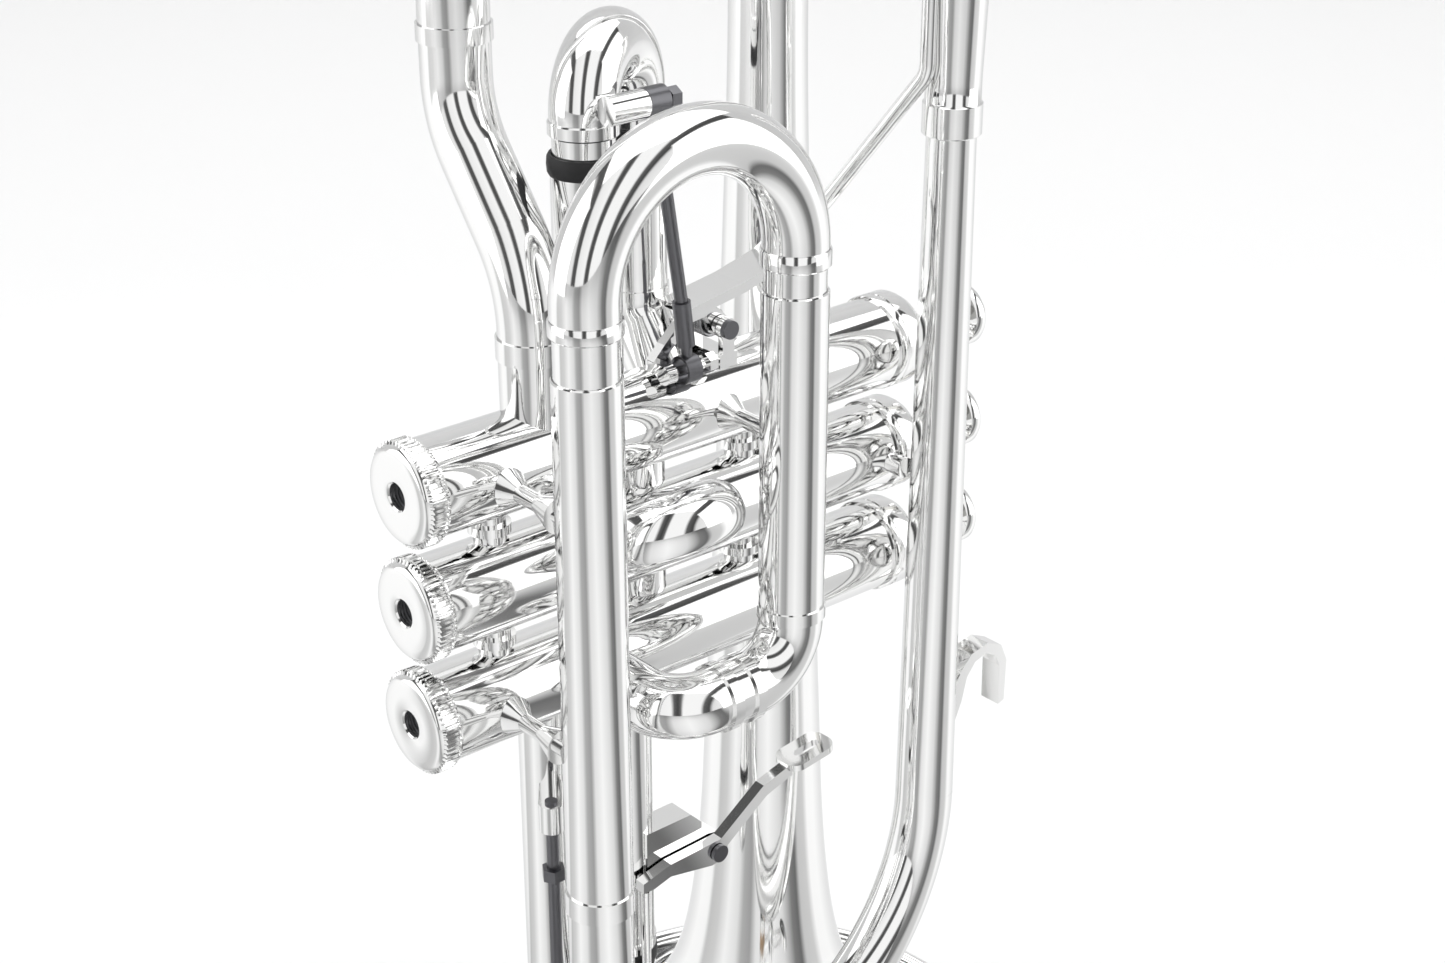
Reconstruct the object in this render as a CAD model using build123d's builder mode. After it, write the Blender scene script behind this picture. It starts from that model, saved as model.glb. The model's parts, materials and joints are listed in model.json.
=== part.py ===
from build123d import *
import math
import os

# B-flat cornet, shepherd's-crook pattern, with a thumb trigger on the first
# slide and a finger trigger on the third. It stands on its bell: the origin is
# the centre of the bell rim, +Z runs up the bell towards the player's end,
# +X is the side of the finger buttons, -X the side of the bottom caps and
# -Y the right-hand side, where the main tuning slide lies. Millimetres.

# ---- driving dimensions -------------------------------------------------
BELL_U = 108.2          # bell axis, measured from the face of the bottom caps
BELL_Y = 22.0           # bell axis, measured from the plane of the valves
VALVE_Z = 175.0         # second valve above the bell rim
PITCH = 23.8            # valve spacing
BELL_R = 60.0           # bell rim
CROOK_R = 38.0          # crook centre line
CASING_R, CASING_BORE = 9.5, 8.5
CASING_LEN = 120.8
PISTON_R = 8.45
STEM_R = 2.65
STROKE = 15.0
SLIDE_OUT_R, SLIDE_OUT_BORE = 6.5, 6.05
SLIDE_IN_R, SLIDE_IN_BORE = 6.0, 5.6
FERRULE_R = 6.85
BOW_R, BOW_BORE = 6.4, 5.75
MAIN_LOW = (22.8, -28.0)     # lower main leg, across the valves
MAIN_HIGH = (71.35, -28.0)   # upper main leg
FIRST_A, FIRST_B = (46.0, 2.0), (65.0, 12.0)
THIRD_A, THIRD_B = (31.0, -2.0), (53.0, 4.0)
SECOND_U, SECOND_HALF, SECOND_TILT = 47.1, 9.9, 28.0
LEAD = (120.9, -18.45)
FRONT_BOW_Z = -78.0

os.makedirs("parts", exist_ok=True)


def pt(u, y, z):
    """A point given from the bottom-cap face, the valve plane and valve 2."""
    return (u - BELL_U, y - BELL_Y, z + VALVE_Z)


def rod(p, q, ro, ri=0.0, mode=Mode.ADD):
    """A round bar or straight tube from p to q in the active part."""
    a, b = Vector(*p), Vector(*q)
    with BuildSketch(Plane(origin=a, z_dir=(b - a).normalized())) as profile:
        Circle(ro)
        if ri:
            Circle(ri, mode=Mode.SUBTRACT)
    extrude(profile.sketch, amount=(b - a).length, mode=mode)


def cone(p, q, ra, rb, mode=Mode.ADD):
    """A solid cone from p to q in the active part."""
    a, b = Vector(*p), Vector(*q)
    d = (b - a).normalized()
    with BuildSketch(Plane(origin=a, z_dir=d)) as first:
        Circle(ra)
    with BuildSketch(Plane(origin=b, z_dir=d)) as last:
        Circle(rb)
    loft([first.sketch, last.sketch], mode=mode)


def pipe(points, radii, ro, ri=0.0, mode=Mode.ADD):
    """A bent tube of straight runs and tangent arcs in the active part."""
    with BuildLine(mode=Mode.PRIVATE) as route:
        FilletPolyline(*points, radius=radii)
    path = route.line
    with BuildSketch(Plane(origin=path @ 0, z_dir=path % 0)) as profile:
        Circle(ro)
        if ri:
            Circle(ri, mode=Mode.SUBTRACT)
    sweep(profile.sketch, path=path, mode=mode)


def u_bow(a, b, z0, z1, out, ro, ri=0.0, mode=Mode.ADD):
    """A U-bow whose legs stand at a and b: straight from z0 to z1, then half a
    circle bulging to the side `out` (+1 up, -1 down)."""
    half = math.dist(a, b) / 2
    mid = ((a[0] + b[0]) / 2, (a[1] + b[1]) / 2)
    with BuildLine(mode=Mode.PRIVATE) as route:
        Line(pt(*a, z0), pt(*a, z1))
        ThreePointArc(pt(*a, z1), pt(*mid, z1 + out * half), pt(*b, z1))
        Line(pt(*b, z1), pt(*b, z0))
    path = route.line
    with BuildSketch(Plane(origin=path @ 0, z_dir=path % 0)) as profile:
        Circle(ro)
        if ri:
            Circle(ri, mode=Mode.SUBTRACT)
    sweep(profile.sketch, path=path, mode=mode)


def ring(c, z0, z1, ro, ri, mode=Mode.ADD):
    """An upright ring around c from z0 to z1."""
    rod(pt(*c, z0), pt(*c, z1), ro, ri, mode)


def save(built, name):
    built.part.label = name
    export_step(built.part, f"parts/{name}.step")


VALVES = [(1, PITCH), (2, 0.0), (3, -PITCH)]

# ---- bell ----------------------------------------------------------------
OUTER = [(60.0, 0), (54.5, 2.2), (48.5, 5.2), (40.5, 10.3), (33.5, 16), (28, 22), (24, 28), (21.2, 34),
         (19.2, 40), (17.3, 49), (15.5, 63), (14.2, 80), (13.3, 101), (12.3, 125), (10.6, 170),
         (9.4, 215), (8.3, 255), (8.05, 283)]
INNER = [(57.4, 0), (52.6, 2.2), (46.9, 5.2), (39.2, 10.3), (32.5, 16), (27.1, 22), (23.2, 28), (20.5, 34),
         (18.5, 40), (16.65, 49), (14.85, 63), (13.55, 80), (12.65, 101), (11.65, 125), (9.95, 170),
         (8.75, 215), (7.65, 255), (7.4, 283)]
with BuildPart() as bell:
    with BuildSketch(Plane.XZ):
        with BuildLine():
            Spline(*OUTER)
            Line(OUTER[-1], INNER[-1])
            Spline(*INNER)
            Line(INNER[0], OUTER[0])
        make_face()
    revolve(axis=Axis.Z)
save(bell, "bell")

with BuildPart() as bell_fill:
    with BuildSketch(Plane.XZ):
        with BuildLine():
            Spline(*OUTER)
            Polyline(OUTER[-1], (0, 283), (0, 0), OUTER[0])
        make_face()
    revolve(axis=Axis.Z)

with BuildPart() as bell_rim_wire:
    with BuildSketch(Plane.XZ):
        with Locations((BELL_R - 0.1, 1.35)):
            Circle(1.3)
    revolve(axis=Axis.Z)
    add(bell.part, mode=Mode.SUBTRACT)
save(bell_rim_wire, "bell_rim_wire")

# ---- crook and tail ------------------------------------------------------
CROOK_U = 32.2
CROOK_Z = 112.0
with BuildPart() as bell_crook:
    for r0, r1, m in ((6.7, 8.05, Mode.ADD), (6.05, 7.4, Mode.SUBTRACT)):
        ends = [pt(CROOK_U, BELL_Y, CROOK_Z), pt(CROOK_U + CROOK_R, BELL_Y, CROOK_Z + CROOK_R),
                pt(BELL_U, BELL_Y, CROOK_Z)]
        with BuildLine(mode=Mode.PRIVATE) as crook_line:
            ThreePointArc(*ends)
        with BuildSketch(Plane(origin=ends[0], z_dir=(0, 0, 1))) as small_end:
            Circle(r0)
        with BuildSketch(Plane(origin=ends[2], z_dir=(0, 0, -1))) as large_end:
            Circle(r1)
        sweep([small_end.sketch, large_end.sketch], path=crook_line.line, multisection=True, mode=m)
    rod(pt(BELL_U, BELL_Y, CROOK_Z), pt(BELL_U, BELL_Y, 108.0), 8.05, 7.4)
    rod(pt(CROOK_U, BELL_Y, CROOK_Z), pt(CROOK_U, BELL_Y, 100.0), 6.7, 6.05)
save(bell_crook, "bell_crook")

TAIL = [pt(31.6, 0, 33.0), pt(31.6, 0, 58.0), pt(32.2, BELL_Y, 84.0), pt(CROOK_U, BELL_Y, 100.0)]
with BuildPart() as bell_tail:
    pipe([pt(31.6, 0, 29.0)] + TAIL[1:], [26, 22], 6.7, 6.05)
    rod(pt(-2, 0, PITCH), pt(122, 0, PITCH), CASING_R, mode=Mode.SUBTRACT)
save(bell_tail, "bell_tail")

# ---- valve casings, caps, knuckles --------------------------------------
PORT_R = 5.6
TILT = math.radians(SECOND_TILT)
DIR2 = (0.0, -math.cos(TILT), math.sin(TILT))


def along2(u, s):
    """A point at distance s from the second valve's axis towards its slide."""
    return pt(u, DIR2[1] * s, DIR2[2] * s)


with BuildPart() as valve_casing_1:
    rod(pt(1.5, 0, PITCH), pt(CASING_LEN, 0, PITCH), CASING_R, CASING_BORE)
    rod(pt(31.6, 0, PITCH), pt(31.6, 0, 40), PORT_R, mode=Mode.SUBTRACT)
    rod(pt(FIRST_A[0], FIRST_A[1], PITCH), pt(FIRST_A[0], FIRST_A[1], 40), PORT_R, mode=Mode.SUBTRACT)
    rod(pt(FIRST_B[0], 2, PITCH), pt(FIRST_B[0], 2, 40), PORT_R, mode=Mode.SUBTRACT)
    rod(pt(58, 3, PITCH), pt(58, 3, 0), 4.6, mode=Mode.SUBTRACT)
save(valve_casing_1, "valve_casing_1")

with BuildPart() as valve_casing_2:
    rod(pt(1.5, 0, 0), pt(CASING_LEN, 0, 0), CASING_R, CASING_BORE)
    rod(pt(58, 3, PITCH), pt(58, 3, -PITCH), 4.6, mode=Mode.SUBTRACT)
    for s in (-1, 1):
        rod(along2(SECOND_U + s * SECOND_HALF, 0), along2(SECOND_U + s * SECOND_HALF, 14), PORT_R,
            mode=Mode.SUBTRACT)
save(valve_casing_2, "valve_casing_2")

with BuildPart() as valve_casing_3:
    rod(pt(1.5, 0, -PITCH), pt(CASING_LEN, 0, -PITCH), CASING_R, CASING_BORE)
    rod(pt(58, 3, -PITCH), pt(58, 3, 0), 4.6, mode=Mode.SUBTRACT)
    rod(pt(*THIRD_A, -PITCH), pt(*THIRD_A, -40), PORT_R, mode=Mode.SUBTRACT)
    rod(pt(THIRD_B[0], THIRD_B[1], -PITCH), pt(THIRD_B[0], THIRD_B[1], -40), PORT_R, mode=Mode.SUBTRACT)
    rod(pt(41, 0, -25), pt(41, -14, -25), PORT_R, mode=Mode.SUBTRACT)
save(valve_casing_3, "valve_casing_3")

with BuildPart() as bottom_caps:
    for n, z in VALVES:
        rod(pt(0, 0, z), pt(1.5, 0, z), 10.1, 2.5)
        rod(pt(0.6, 0, z), pt(1.5, 0, z), 10.4, 10.05)
        rod(pt(1.5, 0, z), pt(5.2, 0, z), 10.4, CASING_R)
save(bottom_caps, "bottom_caps")

with BuildPart() as top_caps:
    for n, z in VALVES:
        rod(pt(118.8, 0, z), pt(CASING_LEN, 0, z), 10.0, CASING_R)
        rod(pt(CASING_LEN, 0, z), pt(124.0, 0, z), 10.0, STEM_R + 0.1)
        cone(pt(124.0, 0, z), pt(126.3, 0, z), 10.0, 8.2)
        rod(pt(124.0, 0, z), pt(126.3, 0, z), STEM_R + 0.1, mode=Mode.SUBTRACT)
save(top_caps, "top_caps")

with BuildPart() as valve_knuckles:
    for z0 in (PITCH, 0.0):
        rod(pt(58, 3, z0 - 5), pt(58, 3, z0 - PITCH + 5), 5.4, 4.6)
        # solid stays between neighbouring casings
        for u in (20.0, 82.0):
            rod(pt(u, 0, z0 - 6), pt(u, 0, z0 - PITCH + 6), 3.2)
            rod(pt(u, 0, z0 - 11.0), pt(u, 0, z0 - 12.8), 4.2)
    for n, z in VALVES:
        rod(pt(-2, 0, z), pt(122, 0, z), CASING_R, mode=Mode.SUBTRACT)
save(valve_knuckles, "valve_knuckles_and_stays")

# ---- pistons -------------------------------------------------------------
for n, z in VALVES:
    with BuildPart() as piston:
        rod(pt(26, 0, z), pt(92, 0, z), PISTON_R)
        rod(pt(26, 0, z), pt(38, 0, z), 7.6, mode=Mode.SUBTRACT)
        rod(pt(80, 0, z), pt(92, 0, z), 7.6, mode=Mode.SUBTRACT)
        rod(pt(80, 0, z), pt(92, 0, z), STEM_R)
        rod(pt(44, -12, z), pt(44, 12, z), 4.6, mode=Mode.SUBTRACT)
        rod(pt(58, 0, z - 12), pt(58, 0, z + 12), 4.6, mode=Mode.SUBTRACT)
        rod(pt(73, -12, z - 3), pt(73, 12, z + 3), 4.6, mode=Mode.SUBTRACT)
        rod(pt(92, 0, z), pt(142.6, 0, z), STEM_R)
    save(piston, f"piston_{n}")
    with BuildPart() as button:
        rod(pt(142.6, 0, z), pt(143.6, 0, z), 5.6)
        rod(pt(143.6, 0, z), pt(146.2, 0, z), 7.0)
        rod(pt(145.4, 0, z), pt(146.2, 0, z), 5.4, mode=Mode.SUBTRACT)
    save(button, f"finger_button_{n}")
    with BuildPart() as pearl:
        rod(pt(145.4, 0, z), pt(146.4, 0, z), 5.35)
    save(pearl, f"pearl_inlay_{n}")
    with BuildPart() as spring:
        rod(pt(3.5, 0, z), pt(32.5, 0, z), 6.2, 5.4)
    save(spring, f"valve_spring_{n}")

with BuildPart() as valve_felts:
    for n, z in VALVES:
        rod(pt(126.3, 0, z), pt(127.5, 0, z), 5.4, STEM_R + 0.1)
save(valve_felts, "valve_felts")

# ---- leadpipe, receiver and front bow -----------------------------------
with BuildPart() as leadpipe:
    cone(pt(*LEAD, FRONT_BOW_Z), pt(*LEAD, 74), BOW_R, 5.0)
    cone(pt(*LEAD, FRONT_BOW_Z), pt(*LEAD, 74), BOW_BORE, 4.45, mode=Mode.SUBTRACT)
save(leadpipe, "leadpipe")

with BuildPart() as mouthpiece_receiver:
    ring(LEAD, 72.8, 74.0, 6.0, 5.05)
    ring(LEAD, 74.0, 79.5, 6.0, 4.45)
    ring(LEAD, 79.5, 84.0, 5.6, 4.45)
    cone(pt(*LEAD, 84.0), pt(*LEAD, 112.0), 5.6, 6.5)
    ring(LEAD, 112.0, 118.0, 7.6, 5.2)
    ring(LEAD, 84.0, 112.0, 5.2, 0.0, mode=Mode.SUBTRACT)
save(mouthpiece_receiver, "mouthpiece_receiver")

with BuildPart() as front_bow:
    u_bow(MAIN_LOW, LEAD, -57.6, FRONT_BOW_Z, -1, BOW_R, BOW_BORE)
    rod(pt(*LEAD, FRONT_BOW_Z), pt(*LEAD, -50.0), 8.0, mode=Mode.SUBTRACT)
save(front_bow, "front_bow")

# ---- main tuning slide ---------------------------------------------------
with BuildPart() as main_lower_outer_tube:
    ring(MAIN_LOW, -57.6, 49.9, SLIDE_OUT_R, SLIDE_OUT_BORE)
save(main_lower_outer_tube, "main_lower_outer_tube")

with BuildPart() as main_upper_outer_tube:
    ring(MAIN_HIGH, -13.0, 54.8, SLIDE_OUT_R, SLIDE_OUT_BORE)
save(main_upper_outer_tube, "main_upper_outer_tube")

BEND = [pt(*MAIN_HIGH, -13.0), pt(*MAIN_HIGH, -25.0), pt(41, -28, -25.0), pt(41, -6, -25.0)]
with BuildPart() as main_slide_elbow:
    pipe(BEND, [11.5, 9.0], BOW_R, PORT_R)
    rod(pt(-2, 0, -PITCH), pt(122, 0, -PITCH), CASING_R, mode=Mode.SUBTRACT)
save(main_slide_elbow, "main_slide_elbow")

with BuildPart() as tube_ferrules:
    ring(MAIN_LOW, -60.4, -56.0, FERRULE_R, SLIDE_OUT_R)
    ring(MAIN_HIGH, -13.0, -10.4, FERRULE_R, SLIDE_OUT_R)
    rod(pt(57.2, -28, -25), pt(59.5, -28, -25), 7.0, 6.4)
    rod(pt(51.4, -28, -25), pt(53.7, -28, -25), 7.0, 6.4)
    rod(pt(CROOK_U, BELL_Y, 98.4), pt(CROOK_U, BELL_Y, 101.6), 7.15, 6.7)
    rod(pt(31.6, 0, 43.2), pt(31.6, 0, 47.4), 7.1, 6.7)
    rod(pt(BELL_U, BELL_Y, 106.2), pt(BELL_U, BELL_Y, 110.0), 8.5, 8.06)
save(tube_ferrules, "tube_ferrules")

with BuildPart() as main_slide_bow:
    u_bow(MAIN_LOW, MAIN_HIGH, 60.2, 63.5, 1, BOW_R, BOW_BORE)
save(main_slide_bow, "main_slide_bow")

with BuildPart() as main_slide_inner_tubes:
    ring(MAIN_LOW, 0.0, 60.2, SLIDE_IN_R, SLIDE_IN_BORE)
    ring(MAIN_HIGH, 8.0, 60.2, SLIDE_IN_R, SLIDE_IN_BORE)
save(main_slide_inner_tubes, "main_slide_inner_tubes")

with BuildPart() as main_slide_ferrules:
    ring(MAIN_LOW, 57.9, 60.2, 6.75, SLIDE_IN_R)
    ring(MAIN_LOW, 60.2, 60.9, 6.75, BOW_R)
    ring(MAIN_HIGH, 59.6, 60.2, 6.75, SLIDE_IN_R)
    ring(MAIN_HIGH, 60.2, 63.0, 6.75, BOW_R)
save(main_slide_ferrules, "main_slide_ferrules")

# ---- first slide ---------------------------------------------------------
with BuildPart() as first_slide_outer_tubes:
    ring(FIRST_A, 29.0, 75.0, SLIDE_OUT_R, SLIDE_OUT_BORE)
    pipe([pt(*FIRST_B, 75.0), pt(*FIRST_B, 41.0), pt(FIRST_B[0], 1.5, 27.0)], [9.0], SLIDE_OUT_R, SLIDE_OUT_BORE)
    ring(FIRST_B, 44.5, 46.5, FERRULE_R, SLIDE_OUT_R)
    rod(pt(-2, 0, PITCH), pt(122, 0, PITCH), CASING_R, mode=Mode.SUBTRACT)
save(first_slide_outer_tubes, "first_slide_outer_tubes")

with BuildPart() as first_slide_inner_tubes:
    ring(FIRST_A, 42.0, 85.2, SLIDE_IN_R, SLIDE_IN_BORE)
    ring(FIRST_B, 50.0, 85.2, SLIDE_IN_R, SLIDE_IN_BORE)
    ring(FIRST_A, 82.4, 85.2, 6.75, SLIDE_IN_R)
    ring(FIRST_B, 82.4, 85.2, 6.75, SLIDE_IN_R)
save(first_slide_inner_tubes, "first_slide_inner_tubes")

ARM_Y = -6.6
BALL_U = (55.4, 88.6)        # upper ball joint of the trigger rod, u and z
with BuildPart() as first_slide_bow:
    rod(pt(44.6, ARM_Y, BALL_U[1]), pt(53.0, ARM_Y, BALL_U[1]), 2.8)
    u_bow(FIRST_A, FIRST_B, 85.2, 86.0, 1, BOW_R)
    u_bow(FIRST_A, FIRST_B, 85.2, 86.0, 1, BOW_BORE, mode=Mode.SUBTRACT)
save(first_slide_bow, "first_slide_bow")

with BuildPart() as slide_bumpers:
    ring(FIRST_A, 75.05, 78.9, 7.1, SLIDE_IN_R + 0.15)
    ring(FIRST_B, 75.05, 78.9, 7.1, SLIDE_IN_R + 0.15)
    ring(THIRD_A, -104.0, -100.05, 7.1, SLIDE_IN_R + 0.15)
    ring(THIRD_B, -104.0, -100.05, 7.1, SLIDE_IN_R + 0.15)
save(slide_bumpers, "slide_bumpers")

# ---- second slide --------------------------------------------------------
with BuildPart() as second_slide_outer_tubes:
    for s in (-1, 1):
        u = SECOND_U + s * SECOND_HALF
        rod(along2(u, 6.0), along2(u, 17.5), 6.3, 5.85)
    rod(pt(-2, 0, 0), pt(122, 0, 0), CASING_R, mode=Mode.SUBTRACT)
save(second_slide_outer_tubes, "second_slide_outer_tubes")

with BuildPart() as second_slide_inner_tubes:
    for s in (-1, 1):
        u = SECOND_U + s * SECOND_HALF
        rod(along2(u, 10.0), along2(u, 20.1), 5.8, 5.35)
        rod(along2(u, 17.7), along2(u, 20.1), 6.55, 5.8)
save(second_slide_inner_tubes, "second_slide_inner_tubes")

with BuildPart() as second_slide_bow:
    lo, hi = SECOND_U - SECOND_HALF, SECOND_U + SECOND_HALF
    with BuildLine(mode=Mode.PRIVATE) as second_line:
        Line(along2(lo, 20.1), along2(lo, 20.9))
        ThreePointArc(along2(lo, 20.9), along2(SECOND_U, 20.9 + SECOND_HALF), along2(hi, 20.9))
        Line(along2(hi, 20.9), along2(hi, 20.1))
    with BuildSketch(Plane(origin=second_line.line @ 0, z_dir=second_line.line % 0)):
        Circle(6.25)
        Circle(5.6, mode=Mode.SUBTRACT)
    sweep(path=second_line.line)
save(second_slide_bow, "second_slide_bow")

# ---- third slide ---------------------------------------------------------
with BuildPart() as third_slide_outer_tubes:
    for c in (THIRD_A, THIRD_B):
        ring(c, -100.0, -27.0, SLIDE_OUT_R, SLIDE_OUT_BORE)
        ring(c, -100.0, -97.6, FERRULE_R, SLIDE_OUT_R)
    rod(pt(-2, 0, -PITCH), pt(122, 0, -PITCH), CASING_R, mode=Mode.SUBTRACT)
save(third_slide_outer_tubes, "third_slide_outer_tubes")

with BuildPart() as third_slide_inner_tubes:
    for c in (THIRD_A, THIRD_B):
        ring(c, -107.5, -50.0, SLIDE_IN_R, SLIDE_IN_BORE)
        ring(c, -107.5, -105.0, 6.75, SLIDE_IN_R)
save(third_slide_inner_tubes, "third_slide_inner_tubes")

STOP = (23.0, -12.5)         # stop rod of the third slide
PIV3 = (71.0, -80.0)         # finger lever hinge, u and z
PUSH = (52.0, -4.8)          # push rod between the finger lever and the bow
with BuildPart() as third_slide_bow:
    # the arm that slides along the stop rod, soldered to the bow
    with BuildSketch(Plane(origin=pt(*STOP, -112.5), x_dir=(THIRD_A[0] - STOP[0], THIRD_A[1] - STOP[1], 0),
                           z_dir=(0, 0, 1))):
        with Locations((3.6, 0)):
            SlotCenterToCenter(7.2, 5.2)
    extrude(amount=3.0)
    ring(STOP, -120.0, -100.0, 1.35, 0.0, mode=Mode.SUBTRACT)
    ring(PUSH, -110.6, -82.2, 1.1, 0.0)
    rod(pt(*PUSH, -109.6), pt(THIRD_B[0], 0.0, -109.6), 1.1)
    u_bow(THIRD_A, THIRD_B, -107.5, -108.5, -1, BOW_R)
    u_bow(THIRD_A, THIRD_B, -107.5, -108.5, -1, BOW_BORE, mode=Mode.SUBTRACT)
save(third_slide_bow, "third_slide_bow")

with BuildPart() as third_slide_stop_rod:
    ring(STOP, -126.0, -44.0, 1.25, 0.0)
    with BuildSketch(Plane(origin=pt(*STOP, -62.0), z_dir=(0, 0, 1))):
        RegularPolygon(2.4, 6)
    extrude(amount=2.6)
    with BuildSketch(Plane(origin=pt(*STOP, -127.5), z_dir=(0, 0, 1))):
        RegularPolygon(2.4, 6)
    extrude(amount=2.4)
save(third_slide_stop_rod, "third_slide_stop_rod")

with BuildPart() as third_stop_bracket:
    with BuildSketch(Plane(origin=pt(*STOP, -50.5), x_dir=(THIRD_A[0] - STOP[0], THIRD_A[1] - STOP[1], 0),
                           z_dir=(0, 0, 1))):
        with Locations((3.2, 0)):
            SlotCenterToCenter(6.4, 5.0)
    extrude(amount=6.0)
    ring(STOP, -56.0, -40.0, 1.25, 0.0, mode=Mode.SUBTRACT)
    ring(THIRD_A, -56.0, -40.0, SLIDE_OUT_R, 0.0, mode=Mode.SUBTRACT)
save(third_stop_bracket, "third_stop_bracket")

# ---- braces between the valves and the tubes ----------------------------
with BuildPart() as slide_braces:
    for u, z in ((18.6, 23.4), (17.6, -24.2)):
        rod(pt(u, -6.0, z), pt(u, -26.0, z), 1.7)
        cone(pt(u, -7.6, z), pt(u, -13.0, z), 4.6, 1.5)
        cone(pt(u, -17.6, z), pt(u, -24.5, z), 1.5, 3.6)
    rod(pt(71.35, -6.0, PITCH), pt(71.35, -25.0, PITCH), 1.7)
    cone(pt(71.35, -7.6, PITCH), pt(71.35, -13.0, PITCH), 4.4, 1.5)
    rod(pt(116.4, -13.4, 0), pt(116.4, -4.0, 0), 2.2)
    rod(pt(90.0, 0.0, 0.0), pt(BELL_U, BELL_Y, 0.0), 2.2)
    add(bell_fill.part, mode=Mode.SUBTRACT)
    for n, z in VALVES:
        rod(pt(-2, 0, z), pt(122, 0, z), CASING_R + 0.02, mode=Mode.SUBTRACT)
    ring(MAIN_LOW, -57.0, 49.0, SLIDE_OUT_R + 0.02, 0.0, mode=Mode.SUBTRACT)
    ring(MAIN_HIGH, -12.0, 54.0, SLIDE_OUT_R + 0.02, 0.0, mode=Mode.SUBTRACT)
    cone(pt(*LEAD, FRONT_BOW_Z), pt(*LEAD, 74), BOW_R, 5.0, mode=Mode.SUBTRACT)
save(slide_braces, "body_braces")

with BuildPart() as tail_brace:
    with BuildSketch(Plane(origin=pt(39.0, -0.8, 61.0), x_dir=(0, 0, 1), z_dir=(1, 0.0, 0))):
        with BuildLine():
            Polyline((-7.5, 0), (0, 4.6), (7.5, 0), (0, -4.6), close=True)
        make_face()
    extrude(amount=1.6)
    rod(pt(30.0, 3.0, 61.0), pt(46.0, -1.0, 61.0), 2.0)
    pipe([pt(31.6, 0, 29.0)] + TAIL[1:], [26, 22], 6.7, 0.0, mode=Mode.SUBTRACT)
    ring(FIRST_A, 29.0, 75.0, SLIDE_OUT_R, 0.0, mode=Mode.SUBTRACT)
save(tail_brace, "tail_brace")

with BuildPart() as z_brace:
    pipe([pt(113.6, -18.45, 108.0), pt(113.6, -18.45, 86.0), pt(108.4, 16.0, 42.0)], [6.0], 1.6)
    cone(pt(108.9, 10.6, 48.0), pt(108.4, 15.6, 42.6), 1.6, 4.2)
    add(bell_fill.part, mode=Mode.SUBTRACT)
    cone(pt(*LEAD, 84.0), pt(*LEAD, 112.0), 5.6, 6.5, mode=Mode.SUBTRACT)
    ring(LEAD, 79.5, 84.0, 5.6, 0.0, mode=Mode.SUBTRACT)
save(z_brace, "z_brace")

# ---- little-finger hook --------------------------------------------------
with BuildPart() as finger_hook:
    with BuildSketch(Plane(origin=pt(124.6, -18.45 + 2.6, -52.5), x_dir=(1, 0, 0), z_dir=(0, -1, 0))):
        with BuildLine() as hook_line:
            Polyline((0, -4.6), (1.8, -2.8), (3.6, 2.0), (7.0, 5.6), (12.0, 6.6), (16.4, 4.6), (18.4, 0.2),
                     (18.2, -10.0), (16.4, -10.6), (16.2, -0.6), (14.6, 2.6), (11.6, 4.2), (8.2, 3.2),
                     (5.8, 0.2), (4.4, -5.4), (2.6, -9.6), (0, -11.0), close=True)
        make_face()
    extrude(amount=5.2)
    cone(pt(*LEAD, FRONT_BOW_Z), pt(*LEAD, 74), BOW_R, 5.0, mode=Mode.SUBTRACT)
save(finger_hook, "finger_hook")

# ---- first-slide trigger -------------------------------------------------
PIV = (74.3, 39.4)           # thumb lever hinge, u and z
BALL_L = (62.9, 34.4)        # lower ball joint, u and z
with BuildPart() as thumb_lever_bracket:
    for y in (-4.2, 5.6):
        with BuildSketch(Plane(origin=pt(PIV[0], y, 0), x_dir=(1, 0, 0), z_dir=(0, -1, 0))):
            with Locations((0, 35.2)):
                Rectangle(3.0, 8.4)
            with Locations((0, PIV[1])):
                Circle(2.2)
        extrude(amount=1.4)
    with BuildSketch(Plane(origin=pt(PIV[0], 0, 30.0), z_dir=(0, 0, 1))):
        Rectangle(4.4, 11.2)
    extrude(amount=4.4)
    rod(pt(PIV[0], -8, PIV[1]), pt(PIV[0], 8, PIV[1]), 1.1, mode=Mode.SUBTRACT)
    rod(pt(-2, 0, PITCH), pt(122, 0, PITCH), CASING_R, mode=Mode.SUBTRACT)
save(thumb_lever_bracket, "thumb_lever_bracket")

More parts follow.
